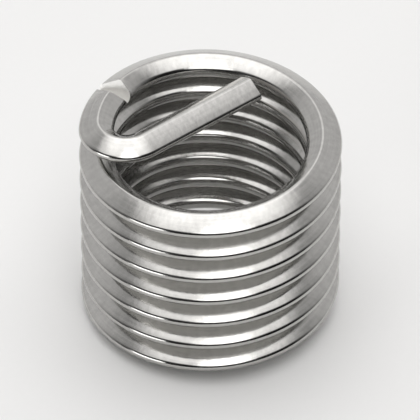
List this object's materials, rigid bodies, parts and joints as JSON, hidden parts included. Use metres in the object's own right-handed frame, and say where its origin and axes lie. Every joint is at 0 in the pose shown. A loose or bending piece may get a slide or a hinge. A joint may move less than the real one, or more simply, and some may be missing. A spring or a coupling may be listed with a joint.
{
  "type": "helical wire thread insert",
  "caption": "Coil of rhombic stainless wire that lines a tapped hole with a hard screw thread; a notched tang crosses the bore at one end for winding it in.",
  "frame": {"origin": "on the coil's axis, in the plane of the plain end's lowest point", "axes": "+Z along the coil's axis, from the plain end to the tang; the tang lies parallel to X and points to +X"},
  "size_m": [0.0174, 0.0175, 0.0159],
  "materials": {
    "stainless_wire": "bright cold-drawn stainless wire with fine drawing lines along it"
  },
  "bodies": {
    "root": {"wire_coil": "stainless_wire"}
  },
  "joints": []
}
